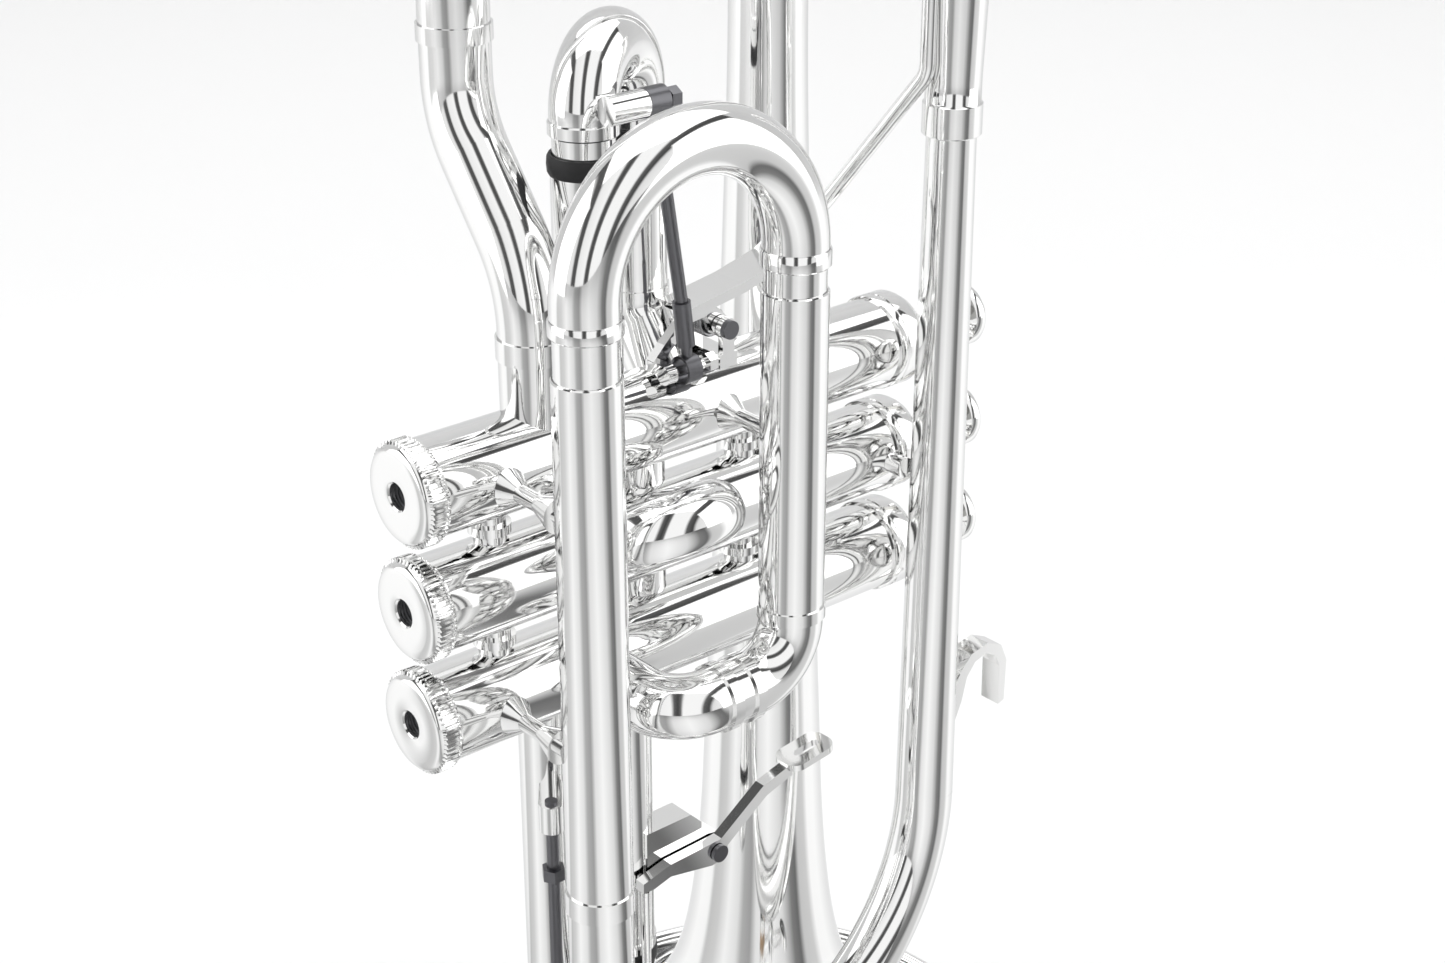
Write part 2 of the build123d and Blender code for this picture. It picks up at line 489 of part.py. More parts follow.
with BuildPart() as thumb_lever:
    rod(pt(PIV[0], -3.9, PIV[1]), pt(PIV[0], 3.9, PIV[1]), 2.1)
    with BuildSketch(Plane(origin=pt(0, -1.2, 0), x_dir=(1, 0, 0), z_dir=(0, -1, 0))):
        with BuildLine():
            Polyline((75.6, 41.2), (74.0, 43.0), (70.0, 45.4), (66.0, 44.6), (60.0, 39.0), (57.0, 36.0), (57.0, 34.0),
                     (59.2, 34.0), (61.4, 37.4), (67.0, 42.0), (70.5, 42.4), (72.6, 38.0), close=True)
        make_face()
    extrude(amount=2.2)
    with BuildSketch(Plane(origin=pt(0, 5.2, 0), x_dir=(1, 0, 0), z_dir=(0, -1, 0))):
        with BuildLine():
            Polyline((66.0, 44.6), (70.0, 45.4), (80.0, 47.0), (90.0, 49.6), (98.0, 54.0), (99.0, 52.4),
                     (91.0, 47.8), (81.0, 45.0), (71.0, 43.4), (67.0, 42.8), close=True)
        make_face()
    extrude(amount=8.6)
    with BuildSketch(Plane(origin=pt(57.0, -4.0, 35.1), x_dir=(0, 1, 0), z_dir=(1, 0, 0))):
        Rectangle(5.6, 2.2)
    extrude(amount=2.2)
    rod(pt(57.0, ARM_Y, BALL_L[1]), pt(59.2, ARM_Y, BALL_L[1]), 1.9)
    rod(pt(59.2, ARM_Y, BALL_L[1]), pt(67.6, ARM_Y, BALL_L[1]), 1.0)
    with BuildSketch(Plane(origin=pt(67.4, ARM_Y, BALL_L[1]), z_dir=(1, 0, 0))):
        RegularPolygon(2.0, 6)
    extrude(amount=2.0)
    rod(pt(PIV[0], -8, PIV[1]), pt(PIV[0], 8, PIV[1]), 1.15, mode=Mode.SUBTRACT)
save(thumb_lever, "thumb_lever")

with BuildPart() as thumb_lever_spring:
    rod(pt(PIV[0], -0.9, PIV[1]), pt(PIV[0], 3.8, PIV[1]), 3.1, 2.3)
save(thumb_lever_spring, "thumb_lever_spring")

with BuildPart() as trigger_rod:
    rod(pt(BALL_U[0] + 0.4, ARM_Y, 86.0), pt(61.6, ARM_Y, 48.5), 1.3)
    rod(pt(61.6, ARM_Y, 48.5), pt(62.7, ARM_Y, 39.4), 1.8)
    rod(pt(62.7, ARM_Y, 39.4), pt(62.9, ARM_Y, 37.0), 1.1)
save(trigger_rod, "trigger_rod")

with BuildPart() as trigger_ball_joints:
    rod(pt(BALL_L[0] - 1.7, ARM_Y, BALL_L[1]), pt(BALL_L[0] + 1.7, ARM_Y, BALL_L[1]), 2.9)
    rod(pt(BALL_L[0] - 1.7, ARM_Y, BALL_L[1]), pt(BALL_L[0] + 1.7, ARM_Y, BALL_L[1]), 2.4, mode=Mode.SUBTRACT)
    rod(pt(53.0, ARM_Y, BALL_U[1]), pt(57.6, ARM_Y, BALL_U[1]), 2.9)
    rod(pt(57.6, ARM_Y, BALL_U[1]), pt(58.6, ARM_Y, BALL_U[1]), 1.2)
    with BuildSketch(Plane(origin=pt(58.6, ARM_Y, BALL_U[1]), z_dir=(1, 0, 0))):
        RegularPolygon(2.1, 6)
    extrude(amount=2.2)
    add(trigger_rod.part, mode=Mode.SUBTRACT)
save(trigger_ball_joints, "trigger_ball_joints")

# ---- third-slide trigger -------------------------------------------------
with BuildPart() as finger_lever_bracket:
    with BuildSketch(Plane(origin=pt(0, 3.3, 0), x_dir=(1, 0, 0), z_dir=(0, -1, 0))):
        with BuildLine():
            Polyline((54.0, -70.0), (66.0, -70.0), (69.0, -73.0), (69.0, -76.4), (73.2, -77.2),
                     (73.4, -82.2), (70.0, -83.2), (64.0, -81.0), (54.0, -82.0), close=True)
        make_face()
    extrude(amount=6.4)
    rod(pt(PIV3[0], -9, PIV3[1]), pt(PIV3[0], 10, PIV3[1]), 1.1, mode=Mode.SUBTRACT)
    ring(THIRD_B, -100.0, -40.0, SLIDE_OUT_R, 0.0, mode=Mode.SUBTRACT)
save(finger_lever_bracket, "finger_lever_bracket")

with BuildPart() as finger_lever:
    with BuildSketch(Plane(origin=pt(0, -3.5, 0), x_dir=(1, 0, 0), z_dir=(0, -1, 0))):
        with BuildLine():
            Polyline((50.6, -81.8), (50.6, -79.4), (58.0, -77.6), (69.0, -77.2), (72.0, -77.0), (84.0, -68.6),
                     (92.0, -66.4), (92.4, -69.2), (85.0, -71.4), (73.8, -79.4), (72.6, -82.4), (69.4, -82.8),
                     (58.0, -80.6), (53.4, -81.8), close=True)
        make_face()
    extrude(amount=2.6)
    with BuildSketch(Plane(origin=pt(91.5, -4.4, -67.6), x_dir=(1, 0, 0.13), z_dir=(-0.13, 0, 1))):
        with Locations((6.0, 0)):
            RectangleRounded(13.0, 8.0, 3.0)
        with Locations((6.6, 0)):
            SlotOverall(7.0, 2.2, mode=Mode.SUBTRACT)
    extrude(amount=1.5)
    rod(pt(PIV3[0], -9, PIV3[1]), pt(PIV3[0], 2, PIV3[1]), 1.15, mode=Mode.SUBTRACT)
save(finger_lever, "finger_lever")

# ---- water key on the front bow -----------------------------------------
WK_U = 71.85
WK_Y = (MAIN_LOW[1] + LEAD[1]) / 2
BOTTOM = FRONT_BOW_Z - math.dist(MAIN_LOW, LEAD) / 2
with BuildPart() as water_key_saddle:
    rod(pt(WK_U, WK_Y, BOTTOM - 6.45), pt(WK_U, WK_Y, BOTTOM - 8.6), 3.2, 1.4)
    for y in (-3.4, 2.2):
        with BuildSketch(Plane(origin=pt(WK_U + 12.0, WK_Y + y, BOTTOM - 8.1), x_dir=(1, 0, 0), z_dir=(0, 1, 0))):
            SlotCenterToCenter(2.0, 3.6, rotation=90)
        extrude(amount=1.2)
    rod(pt(WK_U + 12.0, WK_Y - 5, BOTTOM - 8.0), pt(WK_U + 12.0, WK_Y + 5, BOTTOM - 8.0), 0.9, mode=Mode.SUBTRACT)
save(water_key_saddle, "water_key_saddle")

with BuildPart() as water_key:
    rod(pt(WK_U + 12.0, WK_Y - 1.9, BOTTOM - 8.0), pt(WK_U + 12.0, WK_Y + 1.9, BOTTOM - 8.0), 1.7)
    rod(pt(WK_U + 12.0, WK_Y, BOTTOM - 8.2), pt(WK_U, WK_Y, BOTTOM - 11.6), 1.2)
    rod(pt(WK_U + 12.0, WK_Y, BOTTOM - 8.2), pt(WK_U + 26.0, WK_Y, BOTTOM - 6.0), 1.2)
    rod(pt(WK_U, WK_Y, BOTTOM - 10.8), pt(WK_U, WK_Y, BOTTOM - 8.0), 3.05, mode=Mode.SUBTRACT)
    rod(pt(WK_U, WK_Y, BOTTOM - 12.6), pt(WK_U, WK_Y, BOTTOM - 10.8), 3.4)
    rod(pt(WK_U + 26.0, WK_Y, BOTTOM - 7.2), pt(WK_U + 26.6, WK_Y, BOTTOM - 5.4), 3.4)
    rod(pt(WK_U + 12.0, WK_Y - 5, BOTTOM - 8.0), pt(WK_U + 12.0, WK_Y + 5, BOTTOM - 8.0), 0.95, mode=Mode.SUBTRACT)
save(water_key, "water_key")

with BuildPart() as water_key_cork:
    rod(pt(WK_U, WK_Y, BOTTOM - 10.8), pt(WK_U, WK_Y, BOTTOM - 8.65), 3.0)
save(water_key_cork, "water_key_cork")

# ---- pivot screws of the two triggers and the water key ------------------
with BuildPart() as pivot_screws:
    rod(pt(PIV[0], -5.6, PIV[1]), pt(PIV[0], 5.6, PIV[1]), 1.1)
    rod(pt(PIV[0], -6.5, PIV[1]), pt(PIV[0], -5.6, PIV[1]), 1.9)
    rod(pt(PIV3[0], -6.3, PIV3[1]), pt(PIV3[0], 3.3, PIV3[1]), 1.1)
    rod(pt(PIV3[0], -7.2, PIV3[1]), pt(PIV3[0], -6.3, PIV3[1]), 2.0)
    rod(pt(WK_U + 12.0, WK_Y - 3.4, BOTTOM - 8.0), pt(WK_U + 12.0, WK_Y + 3.4, BOTTOM - 8.0), 0.9)
save(pivot_screws, "pivot_screws")
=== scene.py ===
import bpy, bmesh, json, math
from mathutils import Vector, Matrix

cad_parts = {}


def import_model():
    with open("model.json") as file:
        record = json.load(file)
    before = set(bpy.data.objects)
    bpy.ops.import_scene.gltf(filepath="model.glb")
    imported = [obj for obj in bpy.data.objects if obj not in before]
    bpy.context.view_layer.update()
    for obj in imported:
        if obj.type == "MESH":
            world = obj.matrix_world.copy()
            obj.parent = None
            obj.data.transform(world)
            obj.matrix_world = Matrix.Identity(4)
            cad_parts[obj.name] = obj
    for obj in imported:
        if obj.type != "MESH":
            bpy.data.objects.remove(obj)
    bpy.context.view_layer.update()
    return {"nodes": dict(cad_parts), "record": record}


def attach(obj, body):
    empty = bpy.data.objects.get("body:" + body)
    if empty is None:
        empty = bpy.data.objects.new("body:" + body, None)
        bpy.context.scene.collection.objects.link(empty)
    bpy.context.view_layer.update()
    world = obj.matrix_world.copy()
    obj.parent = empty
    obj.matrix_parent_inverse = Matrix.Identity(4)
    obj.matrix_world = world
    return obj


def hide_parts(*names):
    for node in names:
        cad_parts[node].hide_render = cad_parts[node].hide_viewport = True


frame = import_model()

NODES = frame["nodes"]
BODIES = frame["record"]["behaviour"]["bodies"]
BODY_OF = {n: b for b, ns in BODIES.items() for n in ns}
MM = 0.001


def pt(u, y, z):
    return Vector(((u - 108.2) * MM, (y - 22.0) * MM, (z + 175.0) * MM))


# ---- materials -------------------------------------------------------------
def metal(name, color, rough, grain=0.0, bump=0.0, scale=900.0):
    m = bpy.data.materials.new(name)
    m.use_nodes = True
    nt = m.node_tree
    b = nt.nodes["Principled BSDF"]
    b.inputs["Base Color"].default_value = (*color, 1)
    b.inputs["Metallic"].default_value = 1.0
    b.inputs["Roughness"].default_value = rough
    # painted shade: toward grazing angles the base colour darkens to about 0.42 of itself, painting dark outlines along
    # the tube edges
    lw = nt.nodes.new("ShaderNodeLayerWeight")
    lw.inputs["Blend"].default_value = 0.5
    painted_edge_shade_ramp = nt.nodes.new("ShaderNodeValToRGB")
    painted_edge_shade_ramp.color_ramp.elements[0].position = 0.55
    painted_edge_shade_ramp.color_ramp.elements[0].color = (*color, 1)
    painted_edge_shade_ramp.color_ramp.elements[1].position = 0.98
    painted_edge_shade_ramp.color_ramp.elements[1].color = (color[0] * 0.42, color[1] * 0.42, color[2] * 0.43, 1)
    nt.links.new(lw.outputs["Facing"], painted_edge_shade_ramp.inputs["Fac"])
    nt.links.new(painted_edge_shade_ramp.outputs["Color"], b.inputs["Base Color"])
    co = nt.nodes.new("ShaderNodeTexCoord")
    if grain:
        n = nt.nodes.new("ShaderNodeTexNoise")
        n.inputs["Scale"].default_value = 45.0
        n.inputs["Detail"].default_value = 4.0
        r = nt.nodes.new("ShaderNodeMapRange")
        r.inputs["From Min"].default_value = 0.35
        r.inputs["From Max"].default_value = 0.7
        r.inputs["To Min"].default_value = rough
        r.inputs["To Max"].default_value = rough + grain
        nt.links.new(co.outputs["Object"], n.inputs["Vector"])
        nt.links.new(n.outputs["Fac"], r.inputs["Value"])
        nt.links.new(r.outputs["Result"], b.inputs["Roughness"])
    if bump:
        n2 = nt.nodes.new("ShaderNodeTexNoise")
        n2.inputs["Scale"].default_value = scale
        bp = nt.nodes.new("ShaderNodeBump")
        bp.inputs["Strength"].default_value = bump
        bp.inputs["Distance"].default_value = 0.0002
        nt.links.new(co.outputs["Object"], n2.inputs["Vector"])
        nt.links.new(n2.outputs["Fac"], bp.inputs["Height"])
        nt.links.new(bp.outputs["Normal"], b.inputs["Normal"])
    return m


def plain(name, color, rough, bump=0.0, scale=400.0, coat=0.0, spread=None):
    m = metal(name, color, rough, 0.0, bump, scale)
    nt = m.node_tree
    b = nt.nodes["Principled BSDF"]
    b.inputs["Metallic"].default_value = 0.0
    for k in list(b.inputs["Base Color"].links):
        nt.links.remove(k)
    b.inputs["Coat Weight"].default_value = coat
    if spread:
        co = nt.nodes.new("ShaderNodeTexCoord")
        n = nt.nodes.new("ShaderNodeTexNoise")
        n.inputs["Scale"].default_value = spread[2]
        n.inputs["Detail"].default_value = 5.0
        r = nt.nodes.new("ShaderNodeValToRGB")
        r.color_ramp.elements[0].position = 0.35
        r.color_ramp.elements[1].position = 0.65
        r.color_ramp.elements[0].color = (*spread[0], 1)
        r.color_ramp.elements[1].color = (*spread[1], 1)
        nt.links.new(co.outputs["Object"], n.inputs["Vector"])
        nt.links.new(n.outputs["Fac"], r.inputs["Fac"])
        nt.links.new(r.outputs["Color"], b.inputs["Base Color"])
    return m


MAT = {
    "silver_plate": metal("silver_plate", (0.93, 0.93, 0.925), 0.045, 0.05),
    "nickel": metal("nickel", (0.80, 0.79, 0.76), 0.12, 0.06),
    "dark_steel": metal("dark_steel", (0.16, 0.16, 0.17), 0.28, 0.10),
    "spring_steel": metal("spring_steel", (0.42, 0.42, 0.43), 0.22, 0.05),
    "black_rubber": plain("black_rubber", (0.012, 0.012, 0.013), 0.55, 0.2),
    "mother_of_pearl": plain("mother_of_pearl", (0.9, 0.9, 0.87), 0.12, 0.0, 1, 0.6,
                             ((0.95, 0.93, 0.90), (0.80, 0.86, 0.88), 260.0)),
    "felt": plain("felt", (0.42, 0.42, 0.41), 0.95, 0.6, 2500.0),
    "cork": plain("cork", (0.5, 0.34, 0.2), 0.85, 0.5, 1500.0, 0.0,
                  ((0.55, 0.38, 0.22), (0.36, 0.22, 0.12), 900.0)),
}
thread = metal("thread_shadow", (0.10, 0.10, 0.105), 0.35, 0.1)

SLOT = {s["node"]: s["material_slot"] for s in frame["record"]["subparts"]}
for name, o in NODES.items():
    o.data.materials.clear()
    o.data.materials.append(MAT[SLOT[name]])


# ---- mesh helpers ----------------------------------------------------------
def obj(name, verts, faces, slot, stands_for=(), body=None, smooth=True, mat=None, sharp=35.0):
    me = bpy.data.meshes.new(name)
    me.from_pydata([tuple(v) for v in verts], [], faces)
    bm = bmesh.new()
    bm.from_mesh(me)
    bmesh.ops.remove_doubles(bm, verts=bm.verts, dist=1e-7)
    bmesh.ops.recalc_face_normals(bm, faces=bm.faces)
    bm.to_mesh(me)
    bm.free()
    o = bpy.data.objects.new(name, me)
    bpy.context.scene.collection.objects.link(o)
    me.materials.append(mat or MAT[slot])
    for p in me.polygons:
        p.use_smooth = smooth
    if smooth:
        me.set_sharp_from_angle(angle=math.radians(sharp))
    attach(o, body or BODY_OF[stands_for[0]])
    if stands_for:
        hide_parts(*stands_for)
    return o


class Soup:
    """Several revolved and swept pieces gathered into one mesh."""

    def __init__(self):
        self.v, self.f = [], []

    def rings(self, rings, close=False, seg=96):
        base = len(self.v)
        n = len(rings)
        for r in rings:
            self.v += r
        for i in range(n if close else n - 1):
            a, b = base + i * seg, base + ((i + 1) % n) * seg
            for k in range(seg):
                k2 = (k + 1) % seg
                self.f.append((a + k, a + k2, b + k2, b + k))

    def lathe(self, origin, axis, profile, seg=96, close=True):
        """profile: (distance along axis, radius) in mm; a closed loop unless close is False."""
        axis = Vector(axis).normalized()
        e1 = axis.orthogonal().normalized()
        e2 = axis.cross(e1)
        out = []
        for d, r in profile:
            c = origin + axis * (d * MM)
            out.append([c + (e1 * math.cos(2 * math.pi * k / seg) + e2 * math.sin(2 * math.pi * k / seg)) * (max(r, 1e-4) * MM)
                        for k in range(seg)])
        self.rings(out, close, seg)

    def sweep(self, pts, ro, ri, seg=64):
        """Tube along points; ro and ri are radii (numbers or one per point); walled, closed at both ends."""
        n = len(pts)
        RO = ro if isinstance(ro, list) else [ro] * n
        RI = ri if isinstance(ri, list) else [ri] * n
        t = [(pts[min(i + 1, n - 1)] - pts[max(i - 1, 0)]).normalized() for i in range(n)]
        e = t[0].orthogonal().normalized()
        outer, inner = [], []
        for i in range(n):
            e = (e - t[i] * e.dot(t[i])).normalized()
            g = t[i].cross(e)
            ci = [(e * math.cos(2 * math.pi * k / seg) + g * math.sin(2 * math.pi * k / seg)) for k in range(seg)]
            outer.append([pts[i] + d * (RO[i] * MM) for d in ci])
            if RI[i]:
                inner.append([pts[i] + d * (RI[i] * MM) for d in ci])
        if inner:
            self.rings(outer + inner[::-1], True, seg)
        else:
            cap0 = [pts[0].copy() for _ in range(seg)]
            cap1 = [pts[-1].copy() for _ in range(seg)]
            self.rings([cap0] + outer + [cap1], False, seg)


def arc(a, b, c, n=40):
    """Points of the circle through a, b and c, from a to c."""
    ab, ac = b - a, c - a
    nn = ab.cross(ac)
    centre = a + (nn.cross(ab) * ac.length_squared + ac.cross(nn) * ab.length_squared) / (2 * nn.length_squared)
    r = a - centre
    w = nn.normalized()
    full = math.atan2(w.dot(r.cross(c - centre)), r.dot(c - centre)) % (2 * math.pi)
    return [centre + Matrix.Rotation(full * i / n, 3, w) @ r for i in range(n + 1)]


def bow(a, b, z0, z1, out, n=48):
    half = math.dist(a, b) / 2
    mid = ((a[0] + b[0]) / 2, (a[1] + b[1]) / 2)
    p = arc(pt(*a, z1), pt(*mid, z1 + out * half), pt(*b, z1), n)
    if z0 != z1:
        p = [pt(*a, z0)] + p + [pt(*b, z0)]
    return p


def tube_profile(z0, z1, ro, ri, ch=0.25):
    return [(z0, ri), (z0, ro - ch), (z0 + ch, ro), (z1 - ch, ro), (z1, ro - ch), (z1, ri)]


# ---- the smooth pieces that carry the long reflections ---------------------
OUTER = [(60.0, 0), (54.5, 2.2), (48.5, 5.2), (40.5, 10.3), (33.5, 16), (28, 22), (24, 28), (21.2, 34),
         (19.2, 40), (17.3, 49), (15.5, 63), (14.2, 80), (13.3, 101), (12.3, 125), (10.6, 170),
         (9.4, 215), (8.3, 255), (8.05, 283)]
INNER = [(57.4, 0), (52.6, 2.2), (46.9, 5.2), (39.2, 10.3), (32.5, 16), (27.1, 22), (23.2, 28), (20.5, 34),
         (18.5, 40), (16.65, 49), (14.85, 63), (13.55, 80), (12.65, 101), (11.65, 125), (9.95, 170),
         (8.75, 215), (7.65, 255), (7.4, 283)]


def smooth_profile(p, k=8):
    out = []
    for i in range(len(p) - 1):
        p0 = p[max(i - 1, 0)]
        p1, p2 = p[i], p[i + 1]
        p3 = p[min(i + 2, len(p) - 1)]

        def cr(t):
            # centripetal-like Catmull-Rom on chord length
            d0 = math.dist(p0, p1) ** 0.5 or 1e-6
            d1 = math.dist(p1, p2) ** 0.5
            d2 = math.dist(p2, p3) ** 0.5 or 1e-6
            r = []
            for c in (0, 1):
                if p0 == p1:
                    m1 = p2[c] - p1[c]
                else:
                    m1 = d1 * ((p1[c] - p0[c]) / d0 - (p2[c] - p0[c]) / (d0 + d1) + (p2[c] - p1[c]) / d1)
                if p3 == p2:
                    m2 = p2[c] - p1[c]
                else:
                    m2 = d1 * ((p2[c] - p1[c]) / d1 - (p3[c] - p1[c]) / (d1 + d2) + (p3[c] - p2[c]) / d2)
                r.append((2 * t ** 3 - 3 * t ** 2 + 1) * p1[c] + (t ** 3 - 2 * t ** 2 + t) * m1
                         + (-2 * t ** 3 + 3 * t ** 2) * p2[c] + (t ** 3 - t ** 2) * m2)
            return tuple(r)
        out += [cr(j / k) for j in range(k)]
    return out + [p[-1]]


Z = Vector((0, 0, 1))
s = Soup()
loop = [(z, r) for r, z in smooth_profile(OUTER)] + [(z, r) for r, z in smooth_profile(INNER)[::-1]]
s.lathe(Vector((0, 0, 0)), Z, loop, 256)
obj("bell_skin", s.v, s.f, "silver_plate", ("bell",))

s = Soup()
s.lathe(Vector((0, 0, 0)), Z, [(1.35 + 1.3 * math.sin(2 * math.pi * k / 24), 59.9 + 1.3 * math.cos(2 * math.pi * k / 24))
                               for k in range(24)], 256)
obj("bell_bead", s.v, s.f, "silver_plate", ("bell_rim_wire",))

s = Soup()
p = arc(pt(32.2, 22, 112), pt(70.2, 22, 150), pt(108.2, 22, 112), 72)
n = len(p)
ro = [6.7 + (8.05 - 6.7) * i / (n - 1) for i in range(n)]
p = [pt(32.2, 22, 100)] + p + [pt(108.2, 22, 108)]
ro = [6.7] + ro + [8.05]
s.sweep(p, ro, [r - 0.65 for r in ro], 80)
obj("crook_skin", s.v, s.f, "silver_plate", ("bell_crook",))


def single(name, stands, slot, build):
    sp = Soup()
    build(sp)
    return obj(name, sp.v, sp.f, slot, stands)


LOW, HIGH, LEAD = (22.8, -28.0), (71.35, -28.0), (120.9, -18.45)
FA, FB, TA, TB = (46.0, 2.0), (65.0, 12.0), (31.0, -2.0), (53.0, 4.0)

single("front_bow_skin", ("front_bow",), "silver_plate", lambda q: q.sweep(bow(LOW, LEAD, -78.0, -78.0, -1, 72)[:-1] and
       [pt(*LOW, -57.6)] + bow(LOW, LEAD, -78.0, -78.0, -1, 72), 6.4, 5.75, 80))
single("leadpipe_skin", ("leadpipe",), "silver_plate",
       lambda q: q.lathe(pt(*LEAD, 0), Z, [(-78, 5.75), (-78, 6.4), (74, 5.0), (74, 4.45)], 96))
single("receiver_skin", ("mouthpiece_receiver",), "silver_plate",
       lambda q: q.lathe(pt(*LEAD, 0), Z, [(72.8, 5.05), (72.8, 5.7), (73.1, 6.0), (79.2, 6.0), (79.5, 5.7), (79.7, 5.6),
                                           (84.0, 5.6), (112.0, 6.5), (112.2, 7.3), (112.8, 7.6), (115.0, 7.6), (115.2, 7.4),
                                           (115.4, 7.6), (117.4, 7.6), (118.0, 7.0), (118.0, 5.4), (117.8, 5.2),
                                           (84.0, 5.2), (84.0, 4.45), (74.0, 4.45), (74.0, 5.05)], 96))
single("main_low_skin", ("main_lower_outer_tube",), "silver_plate",
       lambda q: q.lathe(pt(*LOW, 0), Z, tube_profile(-57.6, 49.9, 6.5, 6.05), 96))
single("main_high_skin", ("main_upper_outer_tube",), "silver_plate",
       lambda q: q.lathe(pt(*HIGH, 0), Z, tube_profile(-13.0, 54.8, 6.5, 6.05), 96))
single("main_bow_skin", ("main_slide_bow",), "silver_plate", lambda q: q.sweep(bow(LOW, HIGH, 60.2, 63.5, 1, 56), 6.4, 5.75, 80))


def two_tubes(q):
    q.lathe(pt(*LOW, 0), Z, tube_profile(0.0, 60.2, 6.0, 5.6), 96)
    q.lathe(pt(*HIGH, 0), Z, tube_profile(8.0, 60.2, 6.0, 5.6), 96)


single("main_inner_skin", ("main_slide_inner_tubes",), "silver_plate", two_tubes)


def main_rings(q):
    q.lathe(pt(*LOW, 0), Z, [(57.9, 6.0), (57.9, 6.5), (58.2, 6.75), (60.6, 6.75), (60.9, 6.6), (60.9, 6.42), (60.2, 6.42), (60.2, 6.0)], 96)
    q.lathe(pt(*HIGH, 0), Z, [(59.6, 6.0), (59.6, 6.5), (59.9, 6.75), (62.7, 6.75), (63.0, 6.6), (63.0, 6.42), (60.2, 6.42), (60.2, 6.0)], 96)


single("main_ring_skin", ("main_slide_ferrules",), "silver_plate", main_rings)


def third_outer(q):
    for c in (TA, TB):
        z1 = -29.4 if c is TA else -29.0
        q.lathe(pt(*c, 0), Z, [(-100.0, 6.05), (-100.0, 6.6), (-99.75, 6.85), (-97.85, 6.85), (-97.6, 6.6), (-97.6, 6.5),
                               (z1, 6.5), (z1, 6.05)], 96)


def third_inner(q):
    for c in (TA, TB):
        q.lathe(pt(*c, 0), Z, [(-107.5, 5.6), (-107.5, 6.5), (-107.2, 6.75), (-105.3, 6.75), (-105.0, 6.5), (-105.0, 6.0),
                               (-50.0, 6.0), (-50.0, 5.6)], 96)


single("third_inner_skin", ("third_slide_inner_tubes",), "silver_plate", third_inner)


def first_inner(q):
    for c in (FA, FB):
        q.lathe(pt(*c, 0), Z, [(50.0, 5.6), (50.0, 6.0), (82.4, 6.0), (82.4, 6.5), (82.7, 6.75), (84.9, 6.75), (85.2, 6.5), (85.2, 5.6)], 96)


single("first_inner_skin", ("first_slide_inner_tubes",), "silver_plate", first_inner)


def bumpers(q):
    for c, z0, z1 in ((FA, 75.05, 78.9), (FB, 75.05, 78.9), (TA, -104.0, -100.05), (TB, -104.0, -100.05)):
        m, h = (z0 + z1) / 2, (z1 - z0) / 2
        q.lathe(pt(*c, 0), Z, [(m - h, 6.15), (m - h, 6.7), (m - h * 0.7, 7.0), (m, 7.1), (m + h * 0.7, 7.0), (m + h, 6.7), (m + h, 6.15)], 96)


single("bumper_skin", ("slide_bumpers",), "black_rubber", bumpers)


# ---- bottom caps with knurled grips and threaded vents ----------------------
X = Vector((1, 0, 0))
s = Soup()
seg = 240
for z in (23.8, 0.0, -23.8):
    o0 = pt(0, 0, z)
    prof = [(0.35, 2.6), (0.05, 2.9), (0.0, 3.2), (0.0, 6.0), (0.04, 7.5), (0.12, 8.4), (0.3, 9.0), (0.55, 9.3), (0.9, 9.5), (1.1, 9.6),
            (1.5, 10.3), (1.9, 10.31), (2.6, 10.31), (3.4, 10.31), (4.2, 10.31), (4.6, 10.3), (4.85, 10.05), (5.2, 10.0), (5.2, 9.52), (1.8, 9.52), (1.5, 9.4), (1.5, 2.6)]
    e1, e2 = Vector((0, 1, 0)), Vector((0, 0, 1))
    rr = []
    for d, r in prof:
        ring_ = []
        for k in range(seg):
            a = 2 * math.pi * k / seg
            rad = r
            if 1.45 < d < 4.7 and r > 10.2:
                rad = r + (0.09 if k % 4 < 2 else -0.45)
            ring_.append(o0 + X * (d * MM) + (e1 * math.cos(a) + e2 * math.sin(a)) * (rad * MM))
        rr.append(ring_)
    s.rings(rr, True, seg)
obj("bottom_cap_skin", s.v, s.f, "silver_plate", ("bottom_caps",), sharp=30.0)
s = Soup()
for z in (23.8, 0.0, -23.8):
    p = []
    for k in range(12):
        p.append((0.3 + k * 0.35, 2.55 if k % 2 else 2.9))
    s.lathe(pt(0, 0, z), X, p + [(4.2, 3.4), (0.3, 3.4)], 64)
obj("vent_threads", s.v, s.f, "dark_steel", (), "cornet_body", mat=thread)
s = Soup()
for z in (23.8, 0.0, -23.8):
    s.lathe(pt(0, 0, z), X, [(117.9, 9.5), (117.9, 9.95), (118.15, 10.1), (119.6, 10.1), (119.8, 9.9), (120.0, 9.9), (120.2, 10.1), (123.6, 10.1),
                             (124.1, 9.9), (125.4, 9.1), (126.3, 8.0), (126.3, 2.8), (120.9, 2.8), (120.9, 9.5)], 128)
obj("top_cap_skin", s.v, s.f, "silver_plate", ("top_caps",))
for k, z in ((1, 23.8), (2, 0.0), (3, -23.8)):
    s = Soup()
    s.lathe(pt(0, 0, z), X, [(142.6, 2.66), (142.6, 3.4), (143.0, 5.0), (143.5, 6.6), (144.2, 7.0), (145.6, 7.0), (146.1, 6.7), (146.2, 5.45),
                             (145.4, 5.4), (145.4, 0.0)], 96, False)
    obj("button_skin_%d" % k, s.v, s.f, "silver_plate", ("finger_button_%d" % k,))
    s = Soup()
    s.lathe(pt(0, 0, z), X, [(145.4, 0.0), (145.4, 5.3), (146.2, 5.3), (146.38, 4.6), (146.4, 0.0)], 96, False)
    obj("pearl_skin_%d" % k, s.v, s.f, "mother_of_pearl", ("pearl_inlay_%d" % k,))


